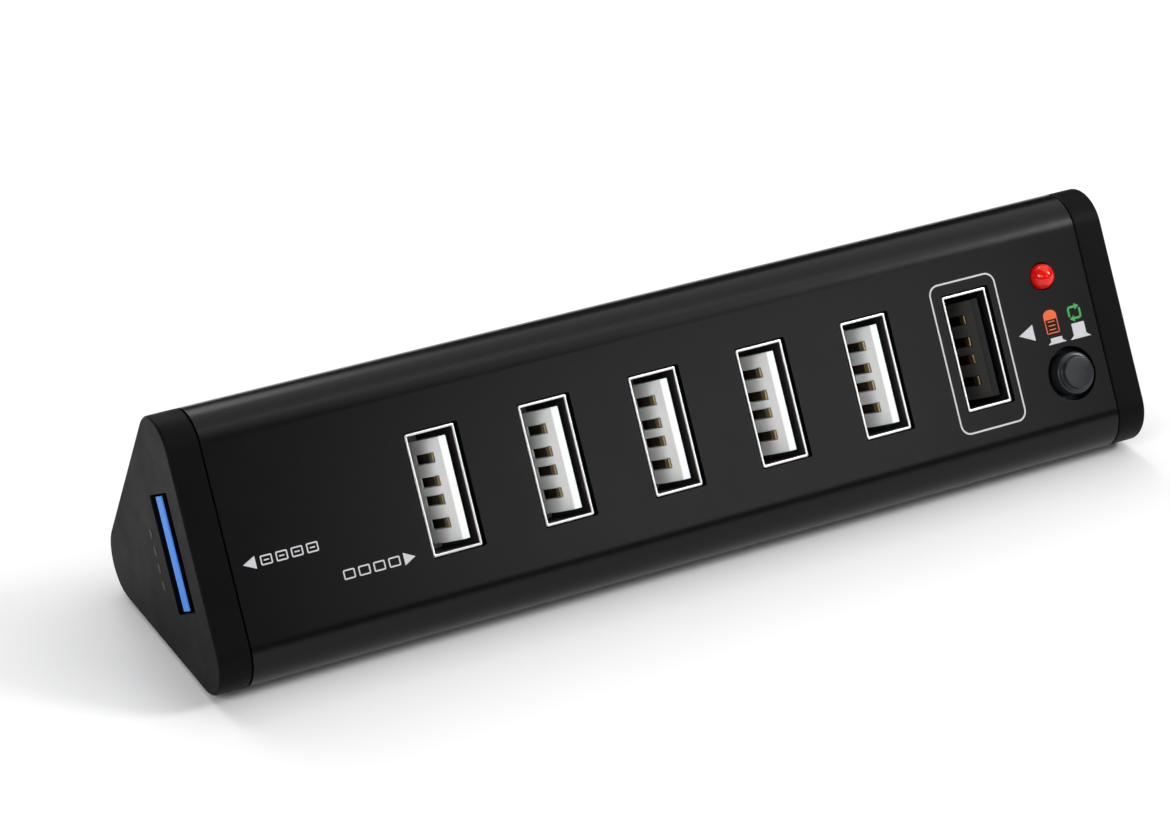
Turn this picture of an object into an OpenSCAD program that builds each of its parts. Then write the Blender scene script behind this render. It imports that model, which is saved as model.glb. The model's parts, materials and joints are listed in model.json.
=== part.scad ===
// Desktop port hub in a three-sided housing that lies on one face.
// The row of upright ports, the button and the indicator are on the sloping front face.
// One more port opens in the left end. The supply and upstream sockets open in the right end.
// Millimetres. X runs along the housing, the front faces -Y, and Z = 0 is the desk.

/* [Housing] */
// Side of the three-cornered section, measured to its sharp corners
side = 36; // [35.8:0.1:37]
// Radius of the section's three long edges
corner_r = 4.4; // [4:0.1:4.6]
// Length of the tube between its two seams
tube_length = 107.6; // [107.6:0.1:108.6]
// Thickness of the tube's walls
wall = 1.4; // [1.3:0.05:1.4]
// Thickness of each end cap's plate
cap_thickness = 3.6; // [3.5:0.1:4]
// Rounding of the end caps' outer rim
cap_rim_r = 0.5; // [0.4:0.1:1]
// Height of the feet below the housing
foot_height = 0.5; // [0.4:0.1:0.8]

/* [Ports] */
// Distance of the first upright port from the left seam
first_port_x = 24.75; // [24.5:0.05:25]
// Distance between neighbouring upright ports
port_pitch = 13.3; // [13.2:0.05:13.3]
// Height of the row up the front face, to the ports' centres
port_u = 17.85; // [17.7:0.05:18]
// Width of a port's metal shell across its short side
shell_width = 5.72; // [5.7:0.01:5.74]
// Length of a port's metal shell along its long side
shell_length = 13.14; // [13.1:0.01:13.18]
// Wall of the shell
shell_wall = 0.3; // [0.28:0.01:0.32]
// Depth of the board's front side below the front face
board_depth = 10.5; // [10.4:0.05:10.6]
// Gap beside each upright port on its right
port_gap = 0.5; // [0.4:0.05:0.6]

/* [Controls] */
// Distance of the button from the left seam
button_x = 102.7; // [102.6:0.05:102.8]
// Height of the button up the front face
button_u = 12.5; // [12.4:0.05:12.7]
// Radius of the button above the face
button_r = 2.5; // [2.4:0.05:2.6]
// Height of the button above the face when it is out
button_height = 1.5; // [1.4:0.05:1.6]
// How far the button goes in
button_travel = 1.3; // [1.1:0.05:1.3]
// Distance of the indicator from the left seam
led_x = 101.85; // [101.65:0.05:102.05]
// Height of the indicator up the front face
led_u = 23.95; // [23.9:0.05:24.1]

/* [Hidden] */
HOUSING_NODES = ["housing_tube", "left_end_cap", "right_end_cap", "main_board", "board_wedges"];
FAST_NODES = ["fast_port_shell", "fast_port_insulator", "fast_port_contacts", "fast_port_riser"];
CHARGE_NODES = ["charge_port_shell", "charge_port_insulator", "charge_port_contacts"];
UP_NODES = ["upstream_shell", "upstream_insulator", "upstream_contacts"];
JACK_NODES = ["dc_jack_body", "dc_jack_pin", "dc_jack_spring", "dc_jack_nut", "power_leads"];
LED_NODES = ["led_lens", "led_leads", "led_spacer"];
SWITCH_NODES = ["button_cap", "switch_plunger", "switch_spring", "switch_case", "switch_cover",
    "switch_terminals"];
CHIP_NODES = ["fast_controller", "hub_controller", "charge_controller", "crystals", "regulator"];
PASSIVE_NODES = ["power_inductor", "bulk_capacitors", "port_fuses", "ceramic_capacitors", "resistors"];
PORT_NODES = [for (n = [1:5]) for (piece = ["shell", "insulator", "contacts"]) str("port_", n, "_", piece)];

$fn = 48;
loose = 0.05;

// Section: centres of the three rounded edges
section_height = side * sqrt(3) / 2;
corner_y = side / 2 - corner_r * sqrt(3);
top_corner_z = section_height - 2 * corner_r;
tenon_length = 5;
tenon_wall = 1.2;
tenon_reach = 8;

// Board, in the front face's own frame (x from the left seam, u up the face, w out of it)
board_thickness = 1.2;
board_front = -board_depth;
board_back = board_front - board_thickness;
board_width = 17.4;
board_start = 0.6;
board_end = tube_length - 0.6;
tail_end = board_back - 0.8;

// Ports: places of the contacts along the tongue
contact_places = [-3.5, -1, 1, 3.5];
fast_places = [-4.6, -2.25, 0, 2.25, 4.6];
tongue_length = 11.1;
tongue_low = 0.12;
tongue_high = 1.96;
tongue_recess = 0.35;
groove_depth = 0.45;
contact_low = 0.2;
contact_thickness = 0.25;
mouth_proud = 0.1;
upright_count = 6;

// End port
fast_u = 18.3;
fast_w = -6.1;
fast_length = 17;

// Upstream and supply sockets
up_u = 18;
up_w = board_back - 1.35;
up_length = 6.2;
jack_w = -19.2;
jack_length = 9.5;
jack_r = 3;
jack_bore_r = 1.9;

// Switch
flange_top = -wall - 0.5;
flange_bottom = flange_top - 1;
flange_r = 3.7;
case_size = 5.8;
cover_thickness = 0.3;
case_top = flange_bottom - button_travel - 0.1 - cover_thickness;
case_floor = 0.7;
plunger_top = -1;
plunger_foot_top = case_top - 0.1;
plunger_foot = 1.2;
stem = 2.4;
spring_low = board_front + case_floor;
spring_high = plunger_foot_top - plunger_foot;
led_seat = -4;
led_top = 1.3;
led_r = 1.45;
led_pitch = 2.54;

// Middles of the free stretches of board between the tails of the upright ports
function gap_x(n) = first_port_x + (n - 0.5) * port_pitch;

function unit(v) = v / norm(v);

// Outline of the housing, its walls pushed in by "inset": a six-sided core and three round corners
module section(inset) {
    r = corner_r - inset;
    dy = r * sqrt(3) / 2;
    dz = r / 2;
    polygon([
        [-corner_y, inset],
        [corner_y, inset],
        [corner_y + dy, corner_r + dz],
        [dy, top_corner_z + dz],
        [-dy, top_corner_z + dz],
        [-corner_y - dy, corner_r + dz]
    ]);
    translate([-corner_y, corner_r]) circle(r);
    translate([corner_y, corner_r]) circle(r);
    translate([0, top_corner_z]) circle(r);
}

// Housing section as a bar from X = from, "length" long
module bar(inset, from, length) {
    translate([from, 0, foot_height]) rotate([90, 0, 90]) linear_extrude(length) section(inset);
}

// Frame of the front face: x from the left seam, y up the slope, z out of the face
module on_face() {
    translate([-tube_length / 2, -side / 2, foot_height]) rotate([60, 0, 0]) children();
}

// Frame of a port: z out of its mouth, y along it, the contacts face -x
module at_upright(n) {
    on_face() translate([first_port_x + n * port_pitch, port_u, 0]) children();
}
module at_fast_port() {
    on_face() translate([-cap_thickness, fast_u, fast_w]) rotate([0, 90, 180]) children();
}
module at_upstream() {
    on_face() translate([tube_length + cap_thickness, up_u, up_w]) rotate([0, 90, 0]) children();
}
module at_jack() {
    on_face() translate([tube_length + cap_thickness, up_u, jack_w]) rotate([0, 90, 0]) children();
}

// Tube swept along a list of points; "ref" is never parallel to the path
function tube_ring(p, t, r, n, ref) =
    let (across = unit(cross(t, ref)), up = cross(across, t))
    [for (k = [0:n - 1]) p + r * (cos(360 * k / n) * across + sin(360 * k / n) * up)];
module sweep(path, r, n, ref) {
    last = len(path) - 1;
    tangents = [for (i = [0:last]) unit(path[min(i + 1, last)] - path[max(i - 1, 0)])];
    points = [for (i = [0:last]) each tube_ring(path[i], tangents[i], r, n, ref)];
    walls = [for (i = [0:last - 1]) for (k = [0:n - 1])
        [i * n + k, (i + 1) * n + k, (i + 1) * n + (k + 1) % n, i * n + (k + 1) % n]];
    start = [for (k = [0:n - 1]) k];
    end = [for (k = [n - 1:-1:0]) last * n + k];
    polyhedron(points, concat(walls, [start], [end]));
}

// Block centred on x and y, from z = low to z = high
module post(width, depth, low, high) {
    translate([-width / 2, -depth / 2, low]) cube([width, depth, high - low]);
}

// ---- Housing ----

module housing_tube() {
    color([0.12, 0.12, 0.125]) difference() {
        bar(0, -tube_length / 2, tube_length);
        bar(wall, -tube_length / 2 - 1, tube_length + 2);
        for (n = [0:upright_count - 1]) at_upright(n) port_window();
        on_face() translate([button_x, button_u, -wall - 1]) cylinder(h = wall + 2, r = button_r + 0.6);
        on_face() translate([led_x, led_u, -wall - 1]) cylinder(h = wall + 2, r = led_r + 0.15);
        feet_places() translate([0, 0, foot_height - 1]) cylinder(h = 1.5, r = 3.45);
    }
}

// Opening for one upright port, wider on its right
module port_window() {
    low = -shell_width / 2 - loose;
    high = shell_width / 2 + port_gap;
    half = shell_length / 2 + 0.15;
    translate([low, -half, -wall - 1]) cube([high - low, 2 * half, wall + 2]);
}

// Plate of an end cap with a soft outer rim, its inner side at X = 0 and its outer side at +X
module cap_plate() {
    hull() {
        bar(0, 0, cap_thickness - cap_rim_r);
        bar(cap_rim_r * 0.134, 0, cap_thickness - cap_rim_r / 2);
        bar(cap_rim_r * 0.5, 0, cap_thickness - cap_rim_r * 0.134);
        bar(cap_rim_r, 0, cap_thickness);
    }
}

// Three corner walls that reach into the tube and centre the cap
module cap_tenon() {
    outer = wall + loose;
    intersection() {
        difference() {
            bar(outer, -tenon_length, tenon_length);
            bar(outer + tenon_wall, -tenon_length - 1, tenon_length + 2);
        }
        union() {
            tenon_corner(-side / 2, 0);
            tenon_corner(side / 2, 0);
            tenon_corner(0, section_height);
        }
    }
}
module tenon_corner(y, z) {
    translate([-tenon_length, y, z + foot_height]) rotate([0, 90, 0])
        cylinder(h = tenon_length, r = tenon_reach);
}

module left_end_cap() {
    color([0.16, 0.16, 0.165]) difference() {
        translate([-tube_length / 2, 0, 0]) mirror([1, 0, 0]) union() {
            cap_plate();
            cap_tenon();
        }
        at_fast_port() post(shell_width + 2 * loose, shell_length + 2 * loose, -cap_thickness - 1, 1);
    }
}

module right_end_cap() {
    color([0.16, 0.16, 0.165]) difference() {
        translate([tube_length / 2, 0, 0]) union() {
            cap_plate();
            cap_tenon();
        }
        at_upstream() translate([0, 0, -cap_thickness - 1]) linear_extrude(cap_thickness + 2)
            upstream_outline(-loose);
        at_jack() translate([0, 0, -cap_thickness - 1]) cylinder(h = cap_thickness + 2, r = jack_r + loose);
        at_jack() translate([0, 0, -0.8]) cylinder(h = 2, r = jack_r + 0.65);
    }
}

module feet_places() {
    for (x = [-44, 44]) for (y = [-6.2, 6.2]) translate([x, y, 0]) children();
}
module rubber_feet() {
    color([0.08, 0.08, 0.08]) feet_places() cylinder(h = foot_height + 0.5, r = 3.4);
}

// ---- Board ----

module main_board() {
    color([0.05, 0.3, 0.15]) difference() {
        on_face() translate([board_start, side / 2 - board_width / 2, board_back])
            cube([board_end - board_start, board_width, board_thickness]);
        for (n = [0:upright_count - 1]) at_upright(n) {
            for (y = contact_places) tail_hole(contact_low + contact_thickness / 2, y);
            for (end = [-1, 1]) translate([0, end * (shell_length - shell_wall) / 2, 0])
                post(2.4, 0.7, board_back - 1, board_front + 1);
        }
        on_face() {
            for (y = concat(contact_places, fast_places))
                tail_hole(fast_length - cap_thickness + 0.35, fast_u - y);
            for (end = [-1, 1]) tail_hole(led_x + end * led_pitch / 2, led_u);
            for (dx = [-2, 2]) for (dy = [-2, 0, 2]) tail_hole(button_x + dx, button_u + dy);
        }
    }
}
module tail_hole(x, y) {
    translate([x, y, board_back - 1]) cylinder(h = board_thickness + 2, r = 0.45);
}

// Three wedges that fill the space behind the board and hold it forward
module board_wedges() {
    near = board_back - 0.05;
    far = -24;
    color([0.2, 0.2, 0.2]) on_face() for (n = [1, 3, 5]) translate([gap_x(n) - 2, side / 2, 0])
        rotate([90, 0, 90]) linear_extrude(4) polygon([[-9.2, near], [9.2, near], [2.3, far], [-2.3, far]]);
}

// ---- Ports ----

// Pressed-steel shell "depth" deep, its mouth "proud" of z = 0
module port_shell(depth, proud) {
    difference() {
        post(shell_width, shell_length, -depth, proud);
        post(shell_width - 2 * shell_wall, shell_length - 2 * shell_wall, -depth - 1, proud + 1);
    }
}

// Side profile of the tongue, its end bevelled on both sides
module tongue_profile(depth) {
    tip = -tongue_recess;
    polygon([
        [tongue_low, -depth],
        [tongue_low, tip - 0.7],
        [tongue_low + 0.7, tip],
        [tongue_high - 0.45, tip],
        [tongue_high, tip - 0.4],
        [tongue_high, -depth]
    ]);
}

// Moulded block that fills the shell's bottom, with the tongue standing on it
module port_insulator(depth, block, places, groove) {
    inner_x = shell_width - 2 * shell_wall - 2 * loose;
    inner_y = shell_length - 2 * shell_wall - 2 * loose;
    difference() {
        union() {
            post(inner_x, inner_y, -depth, -depth + block);
            translate([0, tongue_length / 2, 0]) rotate([90, 0, 0])
                linear_extrude(tongue_length) tongue_profile(depth);
        }
        for (y = contact_places) contact_groove(y, 1.1, depth);
        for (y = places) contact_groove(y, groove, depth);
    }
}
module contact_groove(y, width, depth) {
    translate([tongue_low - 0.4, y - width / 2, -depth - 1]) cube([groove_depth + 0.4, width, depth - 0.1]);
}

// Contact strip in its groove, from z = low to just short of the tongue's end
module contact_strip(y, width, low) {
    translate([contact_low, y - width / 2, low]) cube([contact_thickness, width, -1.4 - low]);
}

module upright_shell() {
    port_shell(board_depth, mouth_proud);
    for (end = [-1, 1]) translate([0, end * (shell_length - shell_wall) / 2, 0])
        post(2, shell_wall, tail_end, -board_depth);
}
module upright_insulator() {
    port_insulator(board_depth, 2.4, [], 1);
}
module upright_contacts() {
    for (y = contact_places) {
        contact_strip(y, 1, -board_depth);
        translate([contact_low, y - 0.25, tail_end])
            cube([contact_thickness, 0.5, -board_depth - tail_end]);
    }
}

module row_shell(n) {
    color([0.8, 0.8, 0.8]) at_upright(n) upright_shell();
}
module row_insulator(n) {
    color([0.92, 0.92, 0.9]) at_upright(n) upright_insulator();
}
module row_contacts(n) {
    color([0.75, 0.6, 0.3]) at_upright(n) upright_contacts();
}
module charge_port_shell() {
    row_shell(5);
}
module charge_port_insulator() {
    color([0.1, 0.1, 0.1]) at_upright(5) upright_insulator();
}
module charge_port_contacts() {
    row_contacts(5);
}

module fast_port_shell() {
    color([0.1, 0.1, 0.1]) at_fast_port() port_shell(fast_length, 0);
}
module fast_port_insulator() {
    color([0.3, 0.6, 0.95]) at_fast_port() port_insulator(fast_length, 3.5, fast_places, 0.6);
}
module fast_port_contacts() {
    color([0.75, 0.6, 0.3]) at_fast_port() {
        for (y = contact_places) fast_contact(y, 1);
        for (y = fast_places) fast_contact(y, 0.5);
    }
}
// Strip that leaves the shell at its back and turns down to the board
module fast_contact(y, width) {
    back = -fast_length - 0.45;
    contact_strip(y, width, back);
    translate([contact_low, y - 0.25, back]) cube([-tail_end + fast_w - contact_low, 0.5, 0.25]);
}
// Block that carries the end port at its height above the board
module fast_port_riser() {
    low = -cap_thickness + 6.5;
    color([0.1, 0.1, 0.1]) on_face() translate([low, fast_u - 5.5, board_front])
        cube([9, 11, fast_w - shell_width / 2 - board_front]);
}

// ---- Upstream and supply sockets ----

// Flat outline with a wide part, a narrow part and a notch between them
module upstream_outline(inset) {
    low = -1.35 + inset;
    high = 1.35 - inset;
    half = 6.45 - inset;
    bevel = 0.8;
    polygon([
        [low, -half],
        [low, half],
        [high, half],
        [high, 2.4 + inset],
        [high - 0.6, 2.1 + inset],
        [high - 0.6, 1.5 - inset],
        [high, 1.2 - inset],
        [high, -half + bevel],
        [high - bevel, -half]
    ]);
}
module upstream_shell() {
    color([0.75, 0.75, 0.75]) at_upstream() translate([0, 0, -up_length]) difference() {
        linear_extrude(up_length) upstream_outline(0);
        translate([0, 0, 0.5]) linear_extrude(up_length) upstream_outline(0.25);
    }
}
module upstream_insulator() {
    floor = -up_length + 0.5 + loose;
    color([0.12, 0.12, 0.12]) at_upstream() {
        translate([0, 0, floor]) linear_extrude(1.5) upstream_outline(0.25 + loose);
        translate([-0.55, -5.4, floor + 1.5]) cube([0.6, 6.1, 3.7]);
        translate([-0.55, 2.5, floor + 1.5]) cube([0.6, 3.2, 3.7]);
    }
}
module upstream_contacts() {
    floor = -up_length + 2 + loose;
    places = [-4.65, -3.35, -2.05, -0.75, 0.3, 2.9, 3.5, 4.1, 4.7, 5.3];
    color([0.75, 0.6, 0.3]) at_upstream() for (y = places)
        translate([0.05, y - 0.15, floor]) cube([0.12, 0.3, 3.4]);
}

module dc_jack_body() {
    color([0.1, 0.1, 0.1]) at_jack() difference() {
        union() {
            translate([0, 0, -jack_length]) cylinder(h = jack_length, r = jack_r);
            translate([0, 0, -0.75]) cylinder(h = 0.75, r = jack_r + 0.6);
        }
        translate([0, 0, -jack_length + 1]) cylinder(h = jack_length, r = jack_bore_r);
        translate([0, 0, -jack_length - 1]) cylinder(h = 3, r = 0.55);
        translate([1.55, -0.4, -jack_length - 1]) cube([0.35, 0.8, jack_length - 1.5]);
    }
}
module dc_jack_pin() {
    color([0.8, 0.8, 0.8]) at_jack() {
        translate([0, 0, -jack_length - 0.8]) cylinder(h = jack_length - 0.4, r = 0.5);
        translate([0, 0, -1.2]) sphere(0.5);
    }
}
// Flat side spring that touches the plug's sleeve
module dc_jack_spring() {
    color([0.8, 0.8, 0.8]) at_jack() translate([1.6, -0.35, -jack_length - 0.8])
        cube([0.25, 0.7, jack_length - 2.2]);
}
module dc_jack_nut() {
    color([0.7, 0.7, 0.7]) at_jack() translate([0, 0, -cap_thickness - 1.6]) difference() {
        cylinder(h = 1.5, r = 3.95, $fn = 6);
        translate([0, 0, -1]) cylinder(h = 4, r = jack_r + 0.03);
    }
}
// Two short leads from the supply socket's tabs to the back of the board
module power_leads() {
    tab_x = tube_length + cap_thickness - jack_length - 0.95;
    lead_r = 0.4;
    reach = 2.6;
    color([0.7, 0.1, 0.1]) on_face() for (lead = [[0, 1.4], [-1.75, -1.4]])
        sweep([for (i = [0:10]) let (t = i / 10, s = t * t * (3 - 2 * t)) [
            tab_x - reach * sin(90 * t),
            up_u + lead[1] * sin(90 * t),
            (jack_w + lead[0]) * (1 - s) + (board_back - 0.05) * s
        ]], lead_r, 8, [0, 1, 0]);
}

// ---- Indicator ----

module led_lens() {
    color([0.9, 0.15, 0.1]) on_face() translate([led_x, led_u, 0]) {
        translate([0, 0, led_seat]) cylinder(h = 1, r = 1.9);
        translate([0, 0, led_seat]) cylinder(h = led_top - led_r - led_seat, r = led_r);
        translate([0, 0, led_top - led_r]) sphere(led_r);
    }
}
module led_leads() {
    color([0.75, 0.75, 0.75]) on_face() for (end = [-1, 1])
        translate([led_x + end * led_pitch / 2, led_u, board_back])
            cylinder(h = led_seat - board_back, r = 0.25);
}
module led_spacer() {
    color([0.15, 0.15, 0.15]) on_face() translate([led_x, led_u, board_front]) difference() {
        cylinder(h = led_seat - board_front, r = 1.85);
        for (end = [-1, 1]) translate([end * led_pitch / 2, 0, -1]) cylinder(h = 10, r = 0.3);
    }
}

// ---- Switch ----

module at_button() {
    on_face() translate([button_x, button_u, 0]) children();
}
// Stepped cap: a retaining flange below the face, the visible stage and a smaller top
module button_cap() {
    color([0.2, 0.2, 0.21]) at_button() difference() {
        rotate_extrude() polygon([
            [0, flange_bottom],
            [flange_r, flange_bottom],
            [flange_r, flange_top],
            [button_r, flange_top],
            [button_r, button_height - 0.75],
            [button_r - 0.35, button_height - 0.4],
            [button_r - 0.6, button_height - 0.35],
            [button_r - 0.75, button_height],
            [0, button_height]
        ]);
        post(stem + 2 * loose, stem + 2 * loose, flange_bottom - 1, plunger_top + loose);
    }
}
module switch_plunger() {
    color([0.85, 0.85, 0.82]) at_button() {
        post(stem, stem, spring_high, plunger_top);
        post(3.8, 3.8, spring_high, plunger_foot_top);
    }
}
// Compression spring between the plunger's foot and the floor of the case
module switch_spring() {
    wire_r = 0.16;
    turns = 4.5;
    low = spring_low + wire_r + 0.02;
    rise = spring_high - spring_low - 2 * wire_r - 0.04;
    last = turns * 12;
    path = [for (i = [0:last]) [1.2 * cos(30 * i), 1.2 * sin(30 * i), low + rise * i / last]];
    color([0.8, 0.8, 0.8]) at_button() sweep(path, wire_r, 8, [0, 0, 1]);
}
module switch_case() {
    color([0.15, 0.15, 0.15]) at_button() difference() {
        post(case_size, case_size, board_front, case_top);
        post(case_size - 1.4, case_size - 1.4, spring_low, case_top + 1);
    }
}
module switch_cover() {
    color([0.75, 0.75, 0.75]) at_button() difference() {
        post(case_size, case_size, case_top, case_top + cover_thickness);
        post(stem + 0.3, stem + 0.3, case_top - 1, case_top + 1);
    }
}
module switch_terminals() {
    color([0.8, 0.7, 0.4]) at_button() for (x = [-2, 2]) for (y = [-2, 0, 2]) translate([x, y, 0])
        post(0.5, 0.3, board_back, board_front);
}

// ---- Parts on the board ----

// Block on the board's back side, centred at (x, u)
module on_back(x, u, width, depth, height) {
    on_face() translate([x - width / 2, u - depth / 2, board_back - height]) cube([width, depth, height]);
}
// Block on the board's front side
module on_front(x, u, width, depth, height) {
    on_face() translate([x - width / 2, u - depth / 2, board_front]) cube([width, depth, height]);
}

module fast_controller() {
    color([0.12, 0.12, 0.12]) on_back(18.7, 17, 8, 8, 0.9);
}
module hub_controller() {
    color([0.12, 0.12, 0.12]) on_back(gap_x(2), 17, 7, 7, 1.4);
}
module charge_controller() {
    color([0.12, 0.12, 0.12]) on_back(gap_x(4), 22.5, 5, 4, 1.5);
}
module regulator() {
    color([0.12, 0.12, 0.12]) on_back(gap_x(4), 14, 6.5, 3.5, 1.6);
}
module crystals() {
    color([0.8, 0.8, 0.8]) {
        on_back(18.7, 23.6, 5, 3.2, 0.9);
        on_back(gap_x(2), 23.6, 5, 3.2, 0.9);
    }
}
module power_inductor() {
    color([0.25, 0.25, 0.25]) on_back(94.8, 18, 5.2, 5.2, 3);
}
module bulk_capacitors() {
    color([0.7, 0.7, 0.72]) on_face() for (n = [0:5]) translate([gap_x(n), 14.2, board_front]) {
        cylinder(h = 6.6, r = 2.5);
        post(5.3, 5.3, 0, 1);
    }
}
module port_fuses() {
    color([0.2, 0.5, 0.3]) for (n = [0:5]) on_front(gap_x(n), 22, 4.5, 3.2, 1);
}
module ceramic_capacitors() {
    color([0.75, 0.6, 0.4]) for (n = [2, 4, 6]) for (k = [0:3])
        on_back(gap_x(n) - 3 + 2 * k, 11, 0.8, 1.6, 0.8);
}
module resistors() {
    color([0.1, 0.1, 0.12]) for (n = [0:5]) for (k = [0:2])
        on_front(gap_x(n) - 2 + 2 * k, 25.3, 0.8, 1.6, 0.5);
}

housing_tube();
left_end_cap();
right_end_cap();
main_board();
board_wedges();
for (n = [1:5]) {
    row_shell(n - 1);
    row_insulator(n - 1);
    row_contacts(n - 1);
}
charge_port_shell();
charge_port_insulator();
charge_port_contacts();
fast_port_shell();
fast_port_insulator();
fast_port_contacts();
fast_port_riser();
upstream_shell();
upstream_insulator();
upstream_contacts();
dc_jack_body();
dc_jack_pin();
dc_jack_spring();
dc_jack_nut();
power_leads();
led_lens();
led_leads();
led_spacer();
button_cap();
switch_plunger();
switch_spring();
switch_case();
switch_cover();
switch_terminals();
fast_controller();
hub_controller();
charge_controller();
crystals();
regulator();
power_inductor();
bulk_capacitors();
port_fuses();
ceramic_capacitors();
resistors();
rubber_feet();
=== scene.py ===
import json
import math

import bmesh
import bpy
from mathutils import Matrix, Vector


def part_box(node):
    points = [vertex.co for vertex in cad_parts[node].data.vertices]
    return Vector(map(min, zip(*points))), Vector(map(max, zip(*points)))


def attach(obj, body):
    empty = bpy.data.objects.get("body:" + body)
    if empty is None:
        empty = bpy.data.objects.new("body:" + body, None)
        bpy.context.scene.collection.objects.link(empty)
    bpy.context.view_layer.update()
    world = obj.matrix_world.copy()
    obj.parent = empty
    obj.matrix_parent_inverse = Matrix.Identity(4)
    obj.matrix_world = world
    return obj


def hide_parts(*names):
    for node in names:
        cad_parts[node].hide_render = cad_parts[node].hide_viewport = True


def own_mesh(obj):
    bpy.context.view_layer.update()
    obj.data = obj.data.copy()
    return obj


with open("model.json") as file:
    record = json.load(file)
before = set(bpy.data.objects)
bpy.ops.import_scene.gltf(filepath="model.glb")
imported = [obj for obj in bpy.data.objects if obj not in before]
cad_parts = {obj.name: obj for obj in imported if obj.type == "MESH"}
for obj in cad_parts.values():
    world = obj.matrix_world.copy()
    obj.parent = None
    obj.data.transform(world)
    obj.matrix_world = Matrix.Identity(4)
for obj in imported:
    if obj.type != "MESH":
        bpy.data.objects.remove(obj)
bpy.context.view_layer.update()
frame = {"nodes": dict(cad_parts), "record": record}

# ---- Units and frames -------------------------------------------------------------------------

MM = 0.001
HUB = "hub"
BUTTON = "button"

# The three-sided section: radius of its rounded edges, and its side to the sharp corners
CORNER_R = 4.4
tube_low, tube_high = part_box("housing_tube")
TUBE_LENGTH = (tube_high.x - tube_low.x) / MM
FOOT_HEIGHT = tube_low.z / MM
SIDE = round((tube_high.y - tube_low.y) / MM + 2 * (math.sqrt(3) - 1) * CORNER_R, 1)
WALL = 1.4
CAP_THICKNESS = (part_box("right_end_cap")[1].x - tube_high.x) / MM

# The part's own frame in millimetres, and the front face's frame:
# x from the left seam, y up the slope (u), z out of the face (w)
ROW = Matrix.Scale(MM, 4)
FACE = (
    Matrix.Translation((tube_low.x, -SIDE / 2 * MM, tube_low.z))
    @ Matrix.Rotation(math.radians(60), 4, "X")
    @ Matrix.Scale(MM, 4)
)


def face_box(*names):
    """Lowest and highest corner of CAD nodes in the front face's frame, in millimetres."""
    to_face = FACE.inverted()
    points = [to_face @ v.co for name in names for v in frame["nodes"][name].data.vertices]
    return Vector(map(min, zip(*points))), Vector(map(max, zip(*points)))


def face_middle(*names):
    low, high = face_box(*names)
    return (low + high) / 2


# ---- Outlines ---------------------------------------------------------------------------------


def circle(radius, steps=48, x=0.0, y=0.0):
    turns = [2 * math.pi * k / steps for k in range(steps)]
    return [Vector((x + radius * math.cos(a), y + radius * math.sin(a))) for a in turns]


def rounded(half_x, half_y, radius, steps=6, x=0.0, y=0.0):
    """Rectangle with round corners, counter-clockwise."""
    points = []
    for quarter, (sx, sy) in enumerate([(1, 1), (-1, 1), (-1, -1), (1, -1)]):
        for k in range(steps + 1):
            a = math.pi / 2 * (quarter + k / steps)
            points.append(Vector((
                x + sx * (half_x - radius) + radius * math.cos(a),
                y + sy * (half_y - radius) + radius * math.sin(a),
            )))
    return points


def inset(outline, distance):
    """Counter-clockwise outline pushed inwards with mitred corners."""
    moved = []
    for i, here in enumerate(outline):
        before = (here - outline[i - 1]).normalized()
        after = (outline[(i + 1) % len(outline)] - here).normalized()
        normal_a = Vector((-before.y, before.x))
        normal_b = Vector((-after.y, after.x))
        moved.append(here + (normal_a + normal_b) * distance / (1 + normal_a.dot(normal_b)))
    return moved


def stroke(path, width):
    """Outline of a line of that width along an open path."""
    left, right = [], []
    for i, here in enumerate(path):
        ahead = path[min(i + 1, len(path) - 1)] - path[max(i - 1, 0)]
        across = Vector((-ahead.y, ahead.x)).normalized() * width / 2
        left.append(here + across)
        right.append(here - across)
    return right + left[::-1]


def section(push, steps=20):
    """Housing outline in the (Y, Z) plane, its walls pushed in by "push", counter-clockwise."""
    radius = CORNER_R - push
    corner_y = SIDE / 2 - CORNER_R * math.sqrt(3)
    top_z = SIDE * math.sqrt(3) / 2 - 2 * CORNER_R
    corners = [(corner_y, CORNER_R, -90), (0, top_z, 30), (-corner_y, CORNER_R, 150)]
    points = []
    for y, z, start in corners:
        for k in range(steps + 1):
            a = math.radians(start + 120 * k / steps)
            points.append(Vector((y + radius * math.cos(a), FOOT_HEIGHT + z + radius * math.sin(a))))
    return points


# ---- Closed surfaces --------------------------------------------------------------------------


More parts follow.
